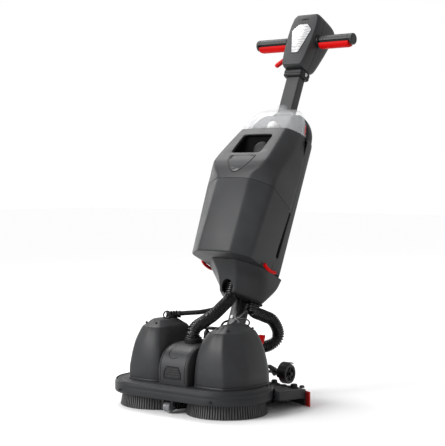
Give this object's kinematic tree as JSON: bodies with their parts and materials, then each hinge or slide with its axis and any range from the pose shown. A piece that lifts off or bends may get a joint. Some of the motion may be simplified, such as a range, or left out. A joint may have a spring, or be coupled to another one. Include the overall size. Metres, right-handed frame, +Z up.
{
  "type": "floor scrubber machine",
  "caption": "Compact upright floor scrubber drier: disc brushes under a wide deck with domed cowls, a curved squeegee and a tilting column with tanks and a T-handle",
  "frame": {"origin": "on the floor, at the middle of the bounding box seen from above, with the machine at rest and its column leaning back", "axes": "+Z up, -Y the machine's front, +X the operator's left"},
  "size_m": [0.49, 0.7647, 1.087],
  "materials": {
    "black_plastic": "black plastic",
    "body_plastic": "satin moulded dark grey plastic with a fine texture",
    "bristle": "stiff grey nylon bristle",
    "cable_grey": "light grey plastic",
    "clear_plastic": "clear frosted plastic",
    "coated_metal": "dark grey powder-coated metal",
    "hose_plastic": "corrugated dark grey flexible plastic",
    "red_plastic": "smooth red plastic",
    "red_rubber": "red polyurethane blade rubber",
    "rubber": "black rubber",
    "steel": "plain steel",
    "upper_plastic": "satin moulded dark grey plastic",
    "white_plastic": "smooth white plastic"
  },
  "bodies": {
    "base": {"deck_shell": "body_plastic", "buffer_rim": "black_plastic", "left_cowl": "body_plastic", "right_cowl": "body_plastic", "centre_cover": "upper_plastic", "tie_bar": "black_plastic", "pivot_bracket": "coated_metal", "roller_bracket": "coated_metal", "left_brush_motor": "coated_metal", "right_brush_motor": "coated_metal", "wheel_bracket": "coated_metal"},
    "front_roller": {"front_roller": "cable_grey"},
    "left_brush": {"left_bristles": "bristle", "left_brush": "black_plastic", "left_drive_plate": "steel"},
    "right_brush": {"right_bristles": "bristle", "right_brush": "black_plastic", "right_drive_plate": "steel"},
    "squeegee": {"squeegee_body": "black_plastic", "front_blade": "rubber", "rear_blade": "red_rubber"},
    "left_corner_roller": {"left_corner_roller": "black_plastic"},
    "right_corner_roller": {"right_corner_roller": "black_plastic"},
    "left_wheel": {"left_wheel": "rubber"},
    "right_wheel": {"right_wheel": "rubber"},
    "foot_pedal": {"foot_pedal": "red_plastic"},
    "cross": {"cross_block": "coated_metal"},
    "column": {"neck_post": "coated_metal", "lower_housing": "body_plastic", "rear_cover": "body_plastic", "tube_sleeve": "black_plastic", "vacuum_motor": "steel", "solution_pump": "coated_metal", "motor_cover": "black_plastic", "battery_pack": "black_plastic", "front_hose": "hose_plastic", "rear_hose": "hose_plastic", "motor_cable": "hose_plastic", "grey_lead": "cable_grey"},
    "clean_tank": {"clean_tank": "body_plastic"},
    "recovery_tank": {"recovery_tank": "upper_plastic"},
    "lid": {"clear_lid": "clear_plastic"},
    "float": {"float_ball": "white_plastic"},
    "left_latch": {"left_latch": "red_plastic"},
    "right_latch": {"right_latch": "red_plastic"},
    "handle": {"handle_tube": "coated_metal", "clamp_collar": "black_plastic", "head_front_shell": "upper_plastic", "head_rear_shell": "upper_plastic", "badge_plate": "white_plastic", "control_panel": "black_plastic", "handlebar": "coated_metal", "left_grip": "upper_plastic", "right_grip": "upper_plastic"},
    "power_button": {"power_button": "red_plastic"},
    "water_button": {"water_button": "cable_grey"},
    "left_trigger": {"left_trigger": "red_plastic"},
    "right_trigger": {"right_trigger": "red_plastic"},
    "height_lever": {"height_lever": "red_plastic"}
  },
  "joints": [
    {"name": "handle_tilt", "type": "hinge", "parent": "base", "child": "cross", "pos_m": [0, -0.0924, 0.147], "axis": [1, 0, 0], "range_deg": [-35, 24.4], "deforming": ["front_hose", "rear_hose", "motor_cable", "grey_lead"]},
    {"name": "neck_swivel", "type": "hinge", "parent": "cross", "child": "column", "pos_m": [0, -0.0924, 0.147], "axis": [0, -0.9107, 0.4131], "range_deg": [-15, 15], "deforming": ["front_hose", "rear_hose", "motor_cable", "grey_lead"]},
    {"name": "front_roller_spin", "type": "hinge", "parent": "base", "child": "front_roller", "pos_m": [0, -0.3584, 0.016], "axis": [1, 0, 0], "continuous": true},
    {"name": "left_brush_spin", "type": "hinge", "parent": "base", "child": "left_brush", "pos_m": [0.1125, -0.2604, 0.03], "axis": [0, 0, 1], "continuous": true},
    {"name": "right_brush_spin", "type": "hinge", "parent": "base", "child": "right_brush", "pos_m": [-0.1125, -0.2604, 0.03], "axis": [0, 0, 1], "continuous": true},
    {"name": "squeegee_lift", "type": "hinge", "parent": "base", "child": "squeegee", "pos_m": [0, -0.1104, 0.088], "axis": [1, 0, 0], "range_deg": [0, 8]},
    {"name": "left_corner_roller_spin", "type": "hinge", "parent": "squeegee", "child": "left_corner_roller", "pos_m": [0.2365, -0.0974, 0.054], "axis": [0, 0, 1], "continuous": true},
    {"name": "right_corner_roller_spin", "type": "hinge", "parent": "squeegee", "child": "right_corner_roller", "pos_m": [-0.2365, -0.0974, 0.054], "axis": [0, 0, 1], "continuous": true},
    {"name": "left_wheel_spin", "type": "hinge", "parent": "base", "child": "left_wheel", "pos_m": [0.103, 0.0296, 0.061], "axis": [1, 0, 0], "continuous": true},
    {"name": "right_wheel_spin", "type": "hinge", "parent": "base", "child": "right_wheel", "pos_m": [-0.103, 0.0296, 0.061], "axis": [1, 0, 0], "continuous": true},
    {"name": "foot_pedal_press", "type": "hinge", "parent": "base", "child": "foot_pedal", "pos_m": [0.082, -0.1324, 0.104], "axis": [-1, 0, 0], "range_deg": [0, 15]},
    {"name": "clean_tank_out", "type": "slide", "parent": "column", "child": "clean_tank", "axis": [0, -0.9107, 0.4131], "range_m": [0, 0.25]},
    {"name": "recovery_tank_out", "type": "slide", "parent": "column", "child": "recovery_tank", "axis": [0, -0.7862, 0.6179], "range_m": [0, 0.25]},
    {"name": "lid_off", "type": "slide", "parent": "recovery_tank", "child": "lid", "axis": [0, 0.4131, 0.9107], "range_m": [0, 0.055]},
    {"name": "float_rise", "type": "slide", "parent": "recovery_tank", "child": "float", "axis": [0, 0.4131, 0.9107], "range_m": [0, 0.01]},
    {"name": "left_latch_swing", "type": "hinge", "parent": "column", "child": "left_latch", "pos_m": [0.106, -0.03057, 0.34625], "axis": [0, -0.8604, 0.5097], "range_deg": [0, 80]},
    {"name": "right_latch_swing", "type": "hinge", "parent": "column", "child": "right_latch", "pos_m": [-0.106, -0.03057, 0.34625], "axis": [0, 0.8604, -0.5097], "range_deg": [0, 80]},
    {"name": "handle_height", "type": "slide", "parent": "column", "child": "handle", "axis": [0, 0.4131, 0.9107], "range_m": [-0.06, 0.06]},
    {"name": "height_lever_pull", "type": "hinge", "parent": "handle", "child": "height_lever", "pos_m": [-0.0385, 0.23703, 0.95069], "axis": [0, 0.9107, -0.4131], "range_deg": [0, 12], "stiffness_Nm_per_rad": 0.6, "springref_deg": -8.59},
    {"name": "left_trigger_pull", "type": "hinge", "parent": "handle", "child": "left_trigger", "pos_m": [0, 0.289, 1.0011], "axis": [-1, 0, 0], "range_deg": [0, 4], "stiffness_Nm_per_rad": 2, "springref_deg": -8.59},
    {"name": "right_trigger_pull", "type": "hinge", "parent": "handle", "child": "right_trigger", "pos_m": [0, 0.289, 1.0011], "axis": [-1, 0, 0], "range_deg": [0, 4], "stiffness_Nm_per_rad": 2, "springref_deg": -8.59},
    {"name": "power_button_press", "type": "slide", "parent": "handle", "child": "power_button", "axis": [0, -0.7475, 0.6642], "range_m": [0, 0.0015], "stiffness_N_per_m": 1200, "springref_m": -0.0005},
    {"name": "water_button_press", "type": "slide", "parent": "handle", "child": "water_button", "axis": [0, -0.7475, 0.6642], "range_m": [0, 0.0015], "stiffness_N_per_m": 1200, "springref_m": -0.0005}
  ],
  "couplings": [
    {"joint": "foot_pedal_press", "follows": "squeegee_lift", "ratio": 1.875}
  ]
}
